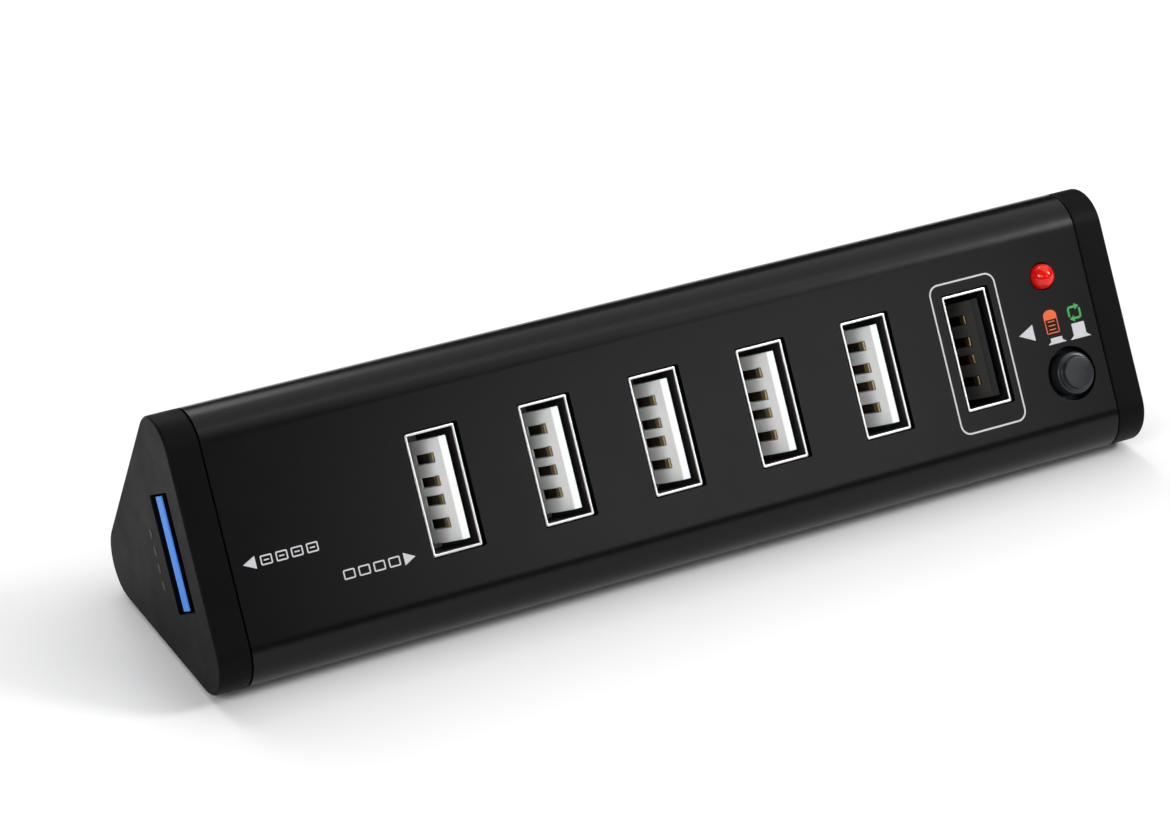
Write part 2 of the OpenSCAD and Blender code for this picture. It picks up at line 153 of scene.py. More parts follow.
class Shape:
    """Closed surfaces gathered in one local frame, in millimetres."""

    def __init__(self):
        self.points = []
        self.faces = []
        self.slots = []

    def skin(self, rings, slot=0, loop=False):
        """Skins over rings with equal numbers of points. A loop joins the last ring to the first."""
        start, count = len(self.points), len(rings[0])
        self.points += [Vector(p) for ring in rings for p in ring]
        spans = len(rings) if loop else len(rings) - 1
        for i in range(spans):
            low = start + i * count
            high = start + (i + 1) % len(rings) * count
            for k in range(count):
                n = (k + 1) % count
                self.add_face([low + k, low + n, high + n, high + k], slot)
        if not loop:
            self.add_face([start + k for k in reversed(range(count))], slot)
            self.add_face([start + (len(rings) - 1) * count + k for k in range(count)], slot)
        return self

    def add_face(self, corners, slot):
        self.faces.append(corners)
        self.slots.append(slot)

    def prism(self, outline, low, high, edge=0.0, slot=0):
        """Outline in x and y drawn out along z, with its rims broken by "edge"."""
        levels = [(low, 0), (high, 0)]
        if edge:
            levels = [(low, edge), (low + edge, 0), (high - edge, 0), (high, edge)]
        rings = [level(inset(outline, d) if d else outline, z) for z, d in levels]
        return self.skin(rings, slot)

    def block(self, low, high, edge=0.05, slot=0):
        """Box between two corners, its upright edges broken too."""
        half_x, half_y = (high[0] - low[0]) / 2, (high[1] - low[1]) / 2
        outline = rounded(half_x, half_y, edge, 2, low[0] + half_x, low[1] + half_y)
        return self.prism(outline, low[2], high[2], edge, slot)

    def lathe(self, profile, steps=64, slot=0, x=0.0, y=0.0):
        """Profile of (radius, z) turned about an axis along z. Both ends are capped."""
        return self.skin([level(circle(r, steps, x, y), z) for r, z in profile], slot)

    def ribbon(self, path, thickness, low, high, slot=0):
        """Strip bent along a path in x and z, from y = low to y = high."""
        outline = stroke(path, thickness)
        return self.skin([[(p.x, y, p.y) for p in outline] for y in (low, high)], slot)

    def paint(self, test, slot):
        """Faces whose corners all pass the test get a slot."""
        for i, corners in enumerate(self.faces):
            if all(test(self.points[k]) for k in corners):
                self.slots[i] = slot
        return self

    def moved(self, matrix):
        copy = Shape()
        copy.points = [matrix @ p for p in self.points]
        copy.faces = [list(f) for f in self.faces]
        copy.slots = list(self.slots)
        return copy

    def add(self, other):
        start = len(self.points)
        self.points += other.points
        self.faces += [[start + i for i in f] for f in other.faces]
        self.slots += other.slots
        return self

    def mesh(self, name, matrix=Matrix.Identity(4)):
        data = bpy.data.meshes.new(name)
        data.from_pydata([matrix @ p for p in self.points], [], self.faces)
        data.polygons.foreach_set("material_index", self.slots)
        work = bmesh.new()
        work.from_mesh(data)
        bmesh.ops.recalc_face_normals(work, faces=work.faces)
        work.to_mesh(data)
        work.free()
        return data


def level(outline, z):
    return [(p.x, p.y, z) for p in outline]


def cut(shape, tools, edge=0.12, segments=2):
    """Shape with the tools' solids taken away and its sharp edges broken."""
    whole = bpy.data.objects.new("whole", shape.mesh("whole"))
    taken = bpy.data.objects.new("taken", tools.mesh("taken"))
    for obj in (whole, taken):
        bpy.context.scene.collection.objects.link(obj)
    modifier = whole.modifiers.new("cut", "BOOLEAN")
    modifier.operation = "DIFFERENCE"
    modifier.solver = "EXACT"
    modifier.object = taken
    if edge:
        bevel = whole.modifiers.new("edge", "BEVEL")
        bevel.width = edge
        bevel.segments = segments
        bevel.limit_method = "ANGLE"
        bevel.angle_limit = math.radians(40)
    done = whole.evaluated_get(bpy.context.evaluated_depsgraph_get()).to_mesh()
    result = Shape()
    result.points = [v.co.copy() for v in done.vertices]
    result.faces = [list(f.vertices) for f in done.polygons]
    result.slots = [f.material_index for f in done.polygons]
    for obj in (whole, taken):
        data = obj.data
        bpy.data.objects.remove(obj)
        bpy.data.meshes.remove(data)
    return result


def piece(name, shape, where, materials, stands_for=(), body=HUB, sharp=35):
    """Object made from a shape, riding on its body and standing for CAD nodes."""
    data = shape.mesh(name, where)
    for material in materials:
        data.materials.append(material)
    data.polygons.foreach_set("use_smooth", [True] * len(data.polygons))
    work = bmesh.new()
    work.from_mesh(data)
    for edge in work.edges:
        edge.smooth = len(edge.link_faces) == 2 and edge.calc_face_angle(0) < math.radians(sharp)
    work.to_mesh(data)
    work.free()
    obj = bpy.data.objects.new(name, data)
    bpy.context.scene.collection.objects.link(obj)
    even = obj.modifiers.new("even shading", "WEIGHTED_NORMAL")
    even.keep_sharp = True
    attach(obj, body)
    if stands_for:
        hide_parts(*stands_for)
    return obj


# ---- Materials --------------------------------------------------------------------------------


def linear(*levels):
    """Colour levels from 0 to 255, as they look on a screen, as linear light."""
    return [(v / 255 / 12.92) if v <= 10 else ((v / 255 + 0.055) / 1.055) ** 2.4 for v in levels]


def surface(name, colour, roughness, variation=0.1, patch=5.0, grain=0.1, depth=0.2, wear=0.0,
            rough_spread=0.05, worn=None, stretch=(1, 1, 1), **settings):
    """Material with patchy colour and roughness and a fine grain. With wear, its edges are worn lighter.

    patch and grain are sizes in millimetres, stretch draws the patches out along an axis.
    """
    material = bpy.data.materials.new(name)
    material.use_nodes = True
    tree = material.node_tree
    shader = tree.nodes["Principled BSDF"]
    for socket, value in settings.items():
        shader.inputs[socket.replace("_", " ")].default_value = value

    def node(kind, **inputs):
        made = tree.nodes.new(kind)
        for key, value in inputs.items():
            made.inputs[key.replace("_", " ")].default_value = value
        return made

    place = node("ShaderNodeTexCoord")
    drawn = node("ShaderNodeMapping", Scale=stretch)
    tree.links.new(place.outputs["Object"], drawn.inputs["Vector"])
    patches = node("ShaderNodeTexNoise", Scale=1 / (patch * MM), Detail=4.0, Roughness=0.6)
    tree.links.new(drawn.outputs["Vector"], patches.inputs["Vector"])
    grains = node("ShaderNodeTexNoise", Scale=1 / (grain * MM), Detail=2.0, Roughness=0.5)
    tree.links.new(drawn.outputs["Vector"], grains.inputs["Vector"])

    tint = node("ShaderNodeMix")
    tint.data_type = "RGBA"
    tint.inputs["A"].default_value = (*[c * (1 - variation) for c in colour], 1)
    tint.inputs["B"].default_value = (*[min(c * (1 + variation), 1) for c in colour], 1)
    tree.links.new(patches.outputs["Fac"], tint.inputs["Factor"])

    spread = node("ShaderNodeMapRange", To_Min=roughness - rough_spread, To_Max=roughness + rough_spread)
    spread.inputs["From Min"].default_value = 0.3
    spread.inputs["From Max"].default_value = 0.7
    tree.links.new(patches.outputs["Fac"], spread.inputs["Value"])

    bump = node("ShaderNodeBump", Strength=depth, Distance=0.02 * MM)
    tree.links.new(grains.outputs["Fac"], bump.inputs["Height"])
    tree.links.new(bump.outputs["Normal"], shader.inputs["Normal"])

    colour_out = tint.outputs["Result"]
    rough_out = spread.outputs["Result"]
    if wear:
        soft = node("ShaderNodeBevel", Radius=0.25 * MM)
        true_normal = node("ShaderNodeNewGeometry")
        align = node("ShaderNodeVectorMath")
        align.operation = "DOT_PRODUCT"
        tree.links.new(soft.outputs["Normal"], align.inputs[0])
        tree.links.new(true_normal.outputs["Normal"], align.inputs[1])
        edge = node("ShaderNodeMapRange", To_Min=wear, To_Max=0.0)
        edge.inputs["From Min"].default_value = 0.75
        edge.inputs["From Max"].default_value = 0.99
        tree.links.new(align.outputs["Value"], edge.inputs["Value"])
        broken = node("ShaderNodeMath")
        broken.operation = "MULTIPLY"
        tree.links.new(edge.outputs["Result"], broken.inputs[0])
        tree.links.new(patches.outputs["Fac"], broken.inputs[1])
        rubbed = node("ShaderNodeMix")
        rubbed.data_type = "RGBA"
        rubbed.inputs["B"].default_value = (*(worn or [min(c * 2 + 0.02, 1) for c in colour]), 1)
        tree.links.new(broken.outputs["Value"], rubbed.inputs["Factor"])
        tree.links.new(colour_out, rubbed.inputs["A"])
        colour_out = rubbed.outputs["Result"]
    tree.links.new(colour_out, shader.inputs["Base Color"])
    tree.links.new(rough_out, shader.inputs["Roughness"])
    return material


HOUSING = surface("housing_plastic", linear(9, 9, 10), 0.24, wear=0.5, depth=0.1, grain=0.09,
                  rough_spread=0.015, worn=linear(20, 21, 23), Specular_IOR_Level=0.2)
END_CAP = surface("end_cap_plastic", linear(10, 10, 10), 0.5, wear=0.5, depth=0.2, grain=0.1,
                  worn=linear(26, 26, 27), Specular_IOR_Level=0.06)
BUTTON_PLASTIC = surface("button_plastic", linear(34, 36, 40), 0.3, wear=0.5, depth=0.08,
                         worn=linear(60, 62, 66), Specular_IOR_Level=0.35)
STEEL = surface("nickel_plate", [0.93, 0.93, 0.92], 0.34, variation=0.04, wear=0.4, worn=[0.97, 0.97, 0.96],
                depth=0.06, stretch=(1, 6, 6), Metallic=1.0)
# Darker copy of the nickel plate for walls inside a shell: painted shade, the same plating as outside
STEEL_PAINTED_SHADE = surface("nickel_painted_shade", [0.13, 0.13, 0.13], 0.45, depth=0.08, stretch=(1, 6, 6),
                       Metallic=1.0)
BLACK_STEEL = surface("black_plate", linear(14, 14, 15), 0.5, depth=0.1, Specular_IOR_Level=0.08)
# Near-black for faces in shade inside the end port: painted shade, not a colour of the parts
PAINTED_SHADE_BLACK = surface("painted_shade_black", linear(5, 5, 5), 0.6, depth=0.1, Specular_IOR_Level=0.02)
WHITE_PLASTIC = surface("white_moulding", [0.93, 0.93, 0.92], 0.42, variation=0.03, depth=0.1, wear=0.3,
                        worn=[0.97, 0.97, 0.95], Subsurface_Weight=0.25, Subsurface_Scale=0.0012)
BLACK_PLASTIC = surface("black_moulding", linear(20, 20, 21), 0.45, depth=0.12, wear=0.4,
                        worn=linear(40, 40, 42), Specular_IOR_Level=0.15)
# Mid grey for the cap's raised bars, and as painted light on the sides of the charging port's black tongue
GREY_BARS_AND_PAINTED_LIGHT = surface("grey_bars_and_painted_light", linear(62, 61, 58), 0.5, depth=0.12, wear=0.3,
                       Specular_IOR_Level=0.1)
BLUE_PLASTIC = surface("blue_moulding", linear(22, 132, 241), 0.4, variation=0.04, depth=0.1, wear=0.3,
                       worn=linear(80, 165, 245))
GOLD = surface("gold_flash", [0.62, 0.46, 0.22], 0.35, variation=0.12, patch=1.5, depth=0.08, wear=0.3,
               worn=[0.9, 0.72, 0.4], Metallic=1.0)
# Dark copy of the gold flash for contacts that lie in shade: painted shade
GOLD_PAINTED_SHADE = surface("gold_painted_shade", [0.07, 0.045, 0.02], 0.45, variation=0.2, patch=1.0, depth=0.08,
                     Metallic=1.0)
TINNED = surface("tinned_metal", [0.7, 0.7, 0.69], 0.35, depth=0.15, wear=0.2, Metallic=1.0)
SPRING_STEEL = surface("spring_steel", [0.55, 0.55, 0.56], 0.3, depth=0.1, Metallic=1.0)
RED_LENS = surface("red_lens", linear(244, 22, 14), 0.11, variation=0.06, patch=2.0, depth=0.02,
                   rough_spread=0.03, Subsurface_Weight=0.2, Specular_IOR_Level=0.4)
WHITE_INK = surface("white_ink", linear(198, 198, 202), 0.55, variation=0.05, patch=0.8, depth=0.3,
                    grain=0.05)
ORANGE_INK = surface("orange_ink", linear(225, 92, 24), 0.55, variation=0.06, patch=0.8, depth=0.3,
                     grain=0.05)
GREEN_INK = surface("green_ink", linear(44, 160, 74), 0.55, variation=0.06, patch=0.8, depth=0.3,
                    grain=0.05)
RUBBER = surface("foot_rubber", linear(32, 32, 32), 0.8, depth=0.5, grain=0.15, wear=0.3)
BOARD = surface("solder_mask", [0.02, 0.17, 0.07], 0.3, variation=0.25, patch=2.0, depth=0.3, grain=0.4,
                wear=0.4)
WEDGE = surface("wedge_moulding", linear(60, 60, 60), 0.6, depth=0.3, wear=0.3)
CHIP = surface("chip_moulding", linear(40, 40, 42), 0.6, depth=0.4, grain=0.08, wear=0.3)
FERRITE = surface("ferrite", linear(62, 62, 64), 0.7, depth=0.5, grain=0.15, wear=0.5)
CAN = surface("capacitor_can", [0.75, 0.75, 0.77], 0.3, depth=0.15, wear=0.3, stretch=(6, 1, 1),
              Metallic=1.0)
FUSE = surface("fuse_body", linear(60, 120, 80), 0.6, depth=0.3, wear=0.3)
CERAMIC = surface("ceramic_chip", linear(170, 140, 105), 0.6, depth=0.3, wear=0.3)
LEAD_WIRE = surface("lead_wire", linear(190, 30, 26), 0.35, depth=0.1, patch=2.0)

SLOT_LOOKS = {
    "housing": HOUSING, "end_cap": END_CAP, "board": BOARD, "wedge": WEDGE, "steel_shell": STEEL,
    "black_shell": BLACK_STEEL, "white_insulator": WHITE_PLASTIC, "black_insulator": BLACK_PLASTIC,
    "blue_insulator": BLUE_PLASTIC, "contact_gold": GOLD, "tinned_metal": TINNED,
    "spring_steel": SPRING_STEEL, "lead_wire": LEAD_WIRE, "red_lens": RED_LENS,
    "button": BUTTON_PLASTIC, "chip": CHIP, "ferrite": FERRITE, "capacitor_can": CAN, "fuse": FUSE,
    "ceramic_chip": CERAMIC, "foot_rubber": RUBBER,
}


def dress_cad_nodes():
    """The CAD nodes get the look of their material slot."""
    slots = {row["node"]: row["material_slot"] for row in frame["record"]["subparts"]}
    for name, obj in frame["nodes"].items():
        obj.data.materials.clear()
        obj.data.materials.append(SLOT_LOOKS[slots[name]])


# ---- Housing ----------------------------------------------------------------------------------

SEAM = 0.15  # gap that shows between the tube and each end cap
PORT_NAMES = ["port_1", "port_2", "port_3", "port_4", "port_5", "charge_port"]
PORT_MIDDLES = [face_middle(f"{name}_shell") for name in PORT_NAMES]
shell_low, shell_high = face_box("port_1_shell")
SHELL_HALF_X = (shell_high.x - shell_low.x) / 2
SHELL_HALF_Y = (shell_high.y - shell_low.y) / 2
MOUTH = shell_high.z
PORT_DEPTH = -face_box("main_board")[1].z
PORT_U = PORT_MIDDLES[0].y
# Gaps between a port's shell and its window: left, right, and at the short ends
GAP_LEFT = 0.05
GAP_RIGHT = 0.5
GAP_END = 0.15

BUTTON_AT = face_middle("button_cap")
LED_AT = face_middle("led_lens")
LED_TOP = face_box("led_lens")[1].z
LED_R = 1.45
BUTTON_HOLE_R = 3.1
FOOT_R = 3.4
FOOT_SINK = 0.5  # how deep the feet sit in the housing


def on_face_at(middle):
    """Frame on the front face at the middle of something that goes through it."""
    return FACE @ Matrix.Translation((middle.x, middle.y, 0))


def bar_rings(push, stations):
    """Rings of the section at stations along X; each station is (x, further push)."""
    return [[(x, p.x, p.y) for p in section(push + more)] for x, more in stations]


def make_housing():
    """Tube with its windows, and round seats for the feet."""
    half = TUBE_LENGTH / 2 - SEAM
    rings = bar_rings(0, [(-half, 0), (half, 0)]) + bar_rings(WALL, [(half, 0), (-half, 0)])
    tube = Shape().skin(rings, loop=True)
    to_row = ROW.inverted() @ FACE
    tools = Shape()
    for middle in PORT_MIDDLES:
        half_x = SHELL_HALF_X + (GAP_LEFT + GAP_RIGHT) / 2
        shift = (GAP_RIGHT - GAP_LEFT) / 2
        window = rounded(half_x, SHELL_HALF_Y + GAP_END, 0.2, 3, middle.x + shift, PORT_U)
        tools.prism(window, -WALL - 1, 1)
    tools.prism(circle(BUTTON_HOLE_R, 72, BUTTON_AT.x, BUTTON_AT.y), -WALL - 1, 1)
    tools.prism(circle(LED_R + 0.15, 48, LED_AT.x, LED_AT.y), -WALL - 1, 1)
    tools = tools.moved(to_row)
    for x, y in FEET_PLACES:
        tools.prism(circle(FOOT_R + 0.1, 56, x, y), FOOT_HEIGHT - 1, FOOT_HEIGHT + FOOT_SINK + 0.02)
    tube = cut(tube, tools, edge=0.13)
    piece("housing", tube, ROW, [HOUSING], ["housing_tube"])


def feet_places():
    """Middles of the feet in X and Y, in millimetres, found from the corners of their box."""
    low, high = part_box("rubber_feet")
    xs = (low.x / MM + FOOT_R, high.x / MM - FOOT_R)
    ys = (low.y / MM + FOOT_R, high.y / MM - FOOT_R)
    return [(x, y) for x in xs for y in ys]


FEET_PLACES = feet_places()


def cap_shape():
    """End cap with its inner side at x = 0 and a soft rim round its outer face."""
    rim, steps = 0.35, 8
    stations = [(0, 0.14), (0.05, 0.04), (0.16, 0)]
    for k in range(1, steps + 1):
        a = math.pi / 2 * k / steps
        stations.append((CAP_THICKNESS - rim + rim * math.sin(a), rim * (1 - math.cos(a))))
    return Shape().skin(bar_rings(0, stations))


def tenons():
    """Three corner walls that reach into the tube."""
    walls = Shape()
    reach, loose, thickness, length = 7.4, 0.05, 1.2, 5
    for corner in range(3):
        outer = corner_path(corner, WALL + loose, reach)
        inner = corner_path(corner, WALL + loose + thickness, reach)
        outline = outer + inner[::-1]
        walls.skin([[(x, p.x, p.y) for p in outline] for x in (-length, 0.3)])
    return walls


def corner_path(corner, push, reach, steps=10):
    """The section's outline from "reach" before one sharp corner to "reach" after it."""
    arc = section(push, steps)[corner * (steps + 1):(corner + 1) * (steps + 1)]
    start = math.radians([-90, 30, 150][corner])
    along = Vector((-math.sin(start), math.cos(start)))
    end = start + math.radians(120)
    out = Vector((-math.sin(end), math.cos(end)))
    straight = max(reach - CORNER_R * math.sqrt(3), 0)
    return [arc[0] - along * straight] + arc + [arc[-1] + out * straight]


FAST_AT = face_middle("fast_port_shell")
UPSTREAM_AT = face_middle("upstream_shell")
JACK_AT = face_middle("dc_jack_body")
RIGHT_END = TUBE_LENGTH + CAP_THICKNESS
WINDOW_RIM = 0.35  # depth of the plastic rim in front of the end port's shell
WINDOW_STEP = 0.2  # how far that rim covers the shell's outline
# Supply socket: its barrel, and the flange sunk in the end face
BARREL_R = 3.0
FLANGE_R = 3.6
FLANGE_DEPTH = 0.75


def out_of_end(x, middle, turn=0.0):
    """Frame of a socket in an end face: z points out of the end at x, and x into the housing."""
    place = Matrix.Translation((x, middle.y, middle.z))
    return FACE @ place @ Matrix.Rotation(turn, 4, "Z") @ Matrix.Rotation(math.pi / 2, 4, "Y")


FAST = out_of_end(-CAP_THICKNESS, FAST_AT, math.pi)
UPSTREAM = out_of_end(RIGHT_END, UPSTREAM_AT)
JACK = out_of_end(RIGHT_END, JACK_AT)


def make_left_cap():
    """Cap with the end port's window, which narrows to a rim in front of the shell."""
    flip = Matrix.Translation((-TUBE_LENGTH / 2, 0, 0)) @ Matrix.Scale(-1, 4, (1, 0, 0))
    plate = cap_shape().moved(flip)
    inner = rounded(SHELL_HALF_X + 0.05, SHELL_HALF_Y + 0.05, 0.2, 3)
    outer = rounded(SHELL_HALF_X - WINDOW_STEP, SHELL_HALF_Y - WINDOW_STEP, 0.25, 3)
    window = [level(inner, -CAP_THICKNESS - 1), level(inner, -WINDOW_RIM),
              level(outer, -WINDOW_RIM), level(outer, 1)]
    cap = cut(plate, Shape().skin(window).moved(ROW.inverted() @ FAST), edge=0.06)
    cap.add(tenons().moved(flip))
    cap.add(cap_bars().moved(ROW.inverted() @ FAST))
    piece("left_cap", cap, ROW, [END_CAP, GREY_BARS_AND_PAINTED_LIGHT], ["left_end_cap"])


def cap_bars():
    """Four faint raised bars beside the end port."""
    bars = Shape()
    for y in (-2.4, -0.55, 1.3, 3.15):
        bars.prism(rounded(0.3, 0.5, 0.2, 4, 5.2, y), -0.1, 0.05, 0.03, 1)
    return bars


def upstream_outline(push):
    """Outline of the upstream socket: a wide and a narrow lobe with a notch between them."""
    low, high, half = -1.35 + push, 1.35 - push, 6.45 - push
    bevel, notch = 0.8, 0.6
    corners = [(low, -half), (high - bevel, -half), (high, -half + bevel), (high, 1.2 - push),
               (high - notch, 1.5 - push), (high - notch, 2.1 + push), (high, 2.4 + push), (high, half),
               (low, half)]
    return [Vector(c) for c in corners]


def make_right_cap():
    """Cap with the upstream socket's window and the supply socket's seat."""
    shift = Matrix.Translation((TUBE_LENGTH / 2, 0, 0))
    plate = cap_shape().moved(shift)
    tools = Shape().prism(upstream_outline(-0.05), -CAP_THICKNESS - 1, 1).moved(ROW.inverted() @ UPSTREAM)
    bore, seat, seat_depth = BARREL_R + 0.05, FLANGE_R + 0.05, FLANGE_DEPTH + 0.05
    hole = [(bore, -CAP_THICKNESS - 1), (bore, -seat_depth), (seat, -seat_depth), (seat, 1)]
    tools.add(Shape().lathe(hole).moved(ROW.inverted() @ JACK))
    cap = cut(plate, tools, edge=0.06)
    cap.add(tenons().moved(shift))
    piece("right_cap", cap, ROW, [END_CAP], ["right_end_cap"])


def make_feet():
    """Round feet with a soft rim and a shallow dish below."""
    shape = Shape()
    top = FOOT_HEIGHT + FOOT_SINK
    for x, y in FEET_PLACES:
        profile = [(2.7, 0.12), (2.85, 0), (3.2, 0), (3.33, 0.05), (FOOT_R, 0.2), (FOOT_R, top)]
        shape.lathe(profile, 56, 0, x, y)
    piece("feet", shape, ROW, [RUBBER], ["rubber_feet"])


# ---- Ports ------------------------------------------------------------------------------------

# A port's own frame: x across its width, y along its length, z out of its mouth
PLATE = 0.27
TONGUE_LOW, TONGUE_HIGH, TONGUE_HALF = 0.12, 1.96, 5.55
TONGUE_TIP = -0.35
FAST_LOW, FAST_HIGH, FAST_HALF = -0.5, 1.5, 6.1
FAST_TIP = -0.15
CONTACTS = (-3.5, -1.0, 1.0, 3.5)
FAST_CONTACTS = (-4.6, -2.25, 0.0, 2.25, 4.6)
CONTACT_WIDTH = 0.95
# Windows in the tongue that show the contacts
GROOVE_END = -1.6
GROOVE_START = -5.7
GROOVE_DEPTH = 0.75
BLOCK_HEIGHT = 0.6


def shell_shape(depth, mouth, legs=True, dark=False):
    """Pressed shell with a rounded lip, spring leaves in its long walls and two legs.

    The inside is the second material, a darker copy of the shell's own metal as painted shade. Unless the
    shell is dark, the wall that faces the contacts isn't.
    """
    outer = rounded(SHELL_HALF_X, SHELL_HALF_Y, 0.22)
    inner = rounded(SHELL_HALF_X - PLATE, SHELL_HALF_Y - PLATE, 0.1)
    lip = 0.07
    outside = [level(outer, -depth), level(outer, mouth - lip),
               level(inset(outer, lip * 0.3), mouth - lip * 0.3), level(inset(outer, lip), mouth)]
    inside = [level(inset(inner, -lip), mouth), level(inset(inner, -lip * 0.3), mouth - lip * 0.3),
              level(inner, mouth - lip), level(inner, -depth)]
    shape = Shape().skin(outside + inside, loop=True)
    count = len(outer)
    inner_wall = 6 * count
    for k in range(count):
        if dark or outer[k].x + outer[(k + 1) % count].x > -2 * SHELL_HALF_X + 0.1:
            shape.slots[inner_wall + k] = 1
    leaf_low, leaf_length, leaf_half = -7.2, 5.0, 0.9
    root = SHELL_HALF_X - PLATE + 0.1
    for side in (-1, 1):
        path = []
        for t in steps_to(10):
            path.append(Vector((side * (root - 0.34 * bulge(t)), leaf_low + leaf_length * t)))
        for y in (-3.1, 3.1):
            shape.ribbon(path, 0.16, y - leaf_half, y + leaf_half, 1)
    if legs:
        for end in (-1, 1):
            y = end * (SHELL_HALF_Y - PLATE / 2)
            shape.block((-1, y - PLATE / 2, -depth - 2), (1, y + PLATE / 2, -depth + 0.5), 0.04)
    return shape


def steps_to(count):
    return [k / count for k in range(count + 1)]


def bulge(t):
    """Rises from 0 to 1 at two thirds of the way, and falls back to a half."""
    return math.sin(math.pi / 2 * min(t / 0.66, 1)) ** 2 * (1 - 0.5 * max(t - 0.66, 0) / 0.34)


def tongue_shape(depth, block, half=TONGUE_HALF, low=TONGUE_LOW, high=TONGUE_HIGH, tip=TONGUE_TIP,
                 taper=(0.86, 2.55), extra=()):
    """Moulded block with the tongue, its contact windows, and its contact side tapered towards the tip.

    "extra" places a second row of narrow windows.
    """
    shape = Shape()
    half_x, half_y = SHELL_HALF_X - PLATE - 0.05, SHELL_HALF_Y - PLATE - 0.05
    shape.block((-half_x, -half_y, -depth), (half_x, half_y, -depth + block), 0.15)
    root = -depth + block - 0.5
    profile = [(low, root), (high, root), (high, tip - 0.3), (high - 0.08, tip - 0.09), (high - 0.2, tip),
               (low + taper[0] + 0.05, tip), (low + taper[0], tip - 0.05), (low, tip - taper[1])]
    tongue = Shape().skin([[(x, y, z) for x, z in profile] for y in (-half, half)])
    grooves = Shape()
    places = [(y, 1.1) for y in CONTACTS] + [(y, 0.6) for y in extra]
    for y, width in places:
        window = [(low - 1, GROOVE_START), (low - 1, GROOVE_END), (low + GROOVE_DEPTH, GROOVE_END),
                  (low + GROOVE_DEPTH, -depth - 1), (low + 0.2, -depth - 1), (low + 0.2, GROOVE_START)]
        grooves.skin([[(x, side, z) for x, z in window] for side in (y - width / 2, y + width / 2)])
    return shape.add(cut(tongue, grooves, edge=0.05, segments=2))


def contact_shape(depth, width, y, tail, low=TONGUE_LOW):
    """Sprung contact that lies deep in its groove and rises towards the tongue's end.

    Its deep part is the second material, the dark gold as painted shade.
    """
    base = low + GROOVE_DEPTH - 0.14
    bend, top, rise = -3.5, GROOVE_END - 0.08, 0.3
    path = [Vector((base, -depth)), Vector((base, -5.2)), Vector((base, -4.2)), Vector((base, bend))]
    for t in steps_to(8)[1:]:
        path.append(Vector((base - rise * math.sin(math.pi / 2 * t), bend + (top - bend) * t)))
    shape = Shape().ribbon(path, 0.16, y - width / 2, y + width / 2)
    shape.block((base - 0.1, y - 0.25, -depth - tail), (base + 0.1, y + 0.25, -depth + 0.05), 0.02)
    return shape.paint(lambda p: p.z < -2.7, 1)


def make_ports():
    """Five white ports and the charging port, which share their shapes."""
    shell = shell_shape(PORT_DEPTH, MOUTH)
    tongue = tongue_shape(PORT_DEPTH, BLOCK_HEIGHT)
    tongue.paint(lambda p: p.z > TONGUE_TIP - 0.12 or p.x > TONGUE_HIGH - 0.1, 1)
    contacts = Shape()
    for y in CONTACTS:
        contacts.add(contact_shape(PORT_DEPTH, CONTACT_WIDTH, y, 2.0))
    for name, middle in zip(PORT_NAMES, PORT_MIDDLES):
        where = FACE @ Matrix.Translation((middle.x, PORT_U, 0))
        looks, tongue_slot = [WHITE_PLASTIC, WHITE_PLASTIC], "white_insulator"
        # The charging port's tongue is one black moulding drawn in two tones: contact side and block in the
        # lighter grey as painted light, tip and back face in black
        if name == "charge_port":
            looks, tongue_slot = [GREY_BARS_AND_PAINTED_LIGHT, BLACK_PLASTIC], "black_insulator"
        piece(f"{name}_metal", shell, where, [STEEL, STEEL_PAINTED_SHADE], [f"{name}_shell"])
        piece(f"{name}_tongue", tongue, where, looks, [f"{name}_insulator"])
        piece(f"{name}_springs", contacts, where, [GOLD, GOLD_PAINTED_SHADE], [f"{name}_contacts"])


def make_fast_port():
    """Dark end port with a blue tongue and a second row of contacts."""
    low, high = face_box("fast_port_shell")
    depth = high.x - low.x
    # The shell's whole inside is drawn near-black as painted shade
    shell = shell_shape(depth, -WINDOW_RIM - 0.05, legs=False, dark=True)
    piece("fast_port_metal", shell, FAST, [BLACK_STEEL, PAINTED_SHADE_BLACK], ["fast_port_shell"])
    tongue = tongue_shape(depth, 3.5, FAST_HALF, FAST_LOW, FAST_HIGH, FAST_TIP, (0.1, 0.1), FAST_CONTACTS)
    side = FAST_LOW + GROOVE_DEPTH
    # The tongue's contact side, short of its tip, is painted near-black as painted shade; only the tip
    # shows the blue
    tongue.paint(lambda p: p.x < side + 0.01 and p.z < FAST_TIP - 0.1, 1)
    piece("fast_port_tongue", tongue, FAST, [BLUE_PLASTIC, PAINTED_SHADE_BLACK],
          ["fast_port_insulator"])
    contacts = Shape()
    drop = FAST_AT.z - face_box("fast_port_contacts")[0].z
    for y, width in [(y, CONTACT_WIDTH) for y in CONTACTS] + [(y, 0.48) for y in FAST_CONTACTS]:
        contacts.add(contact_shape(depth, width, y, 0.4, FAST_LOW))
        contacts.block((FAST_LOW + 0.2, y - 0.25, -depth - 0.5), (drop, y + 0.25, -depth - 0.25), 0.04)
    # Every contact of the end port is drawn in the dark gold as painted shade
    piece("fast_port_springs", contacts, FAST, [GOLD_PAINTED_SHADE, GOLD_PAINTED_SHADE],
          ["fast_port_contacts"])


# ---- Sockets in the right end -----------------------------------------------------------------


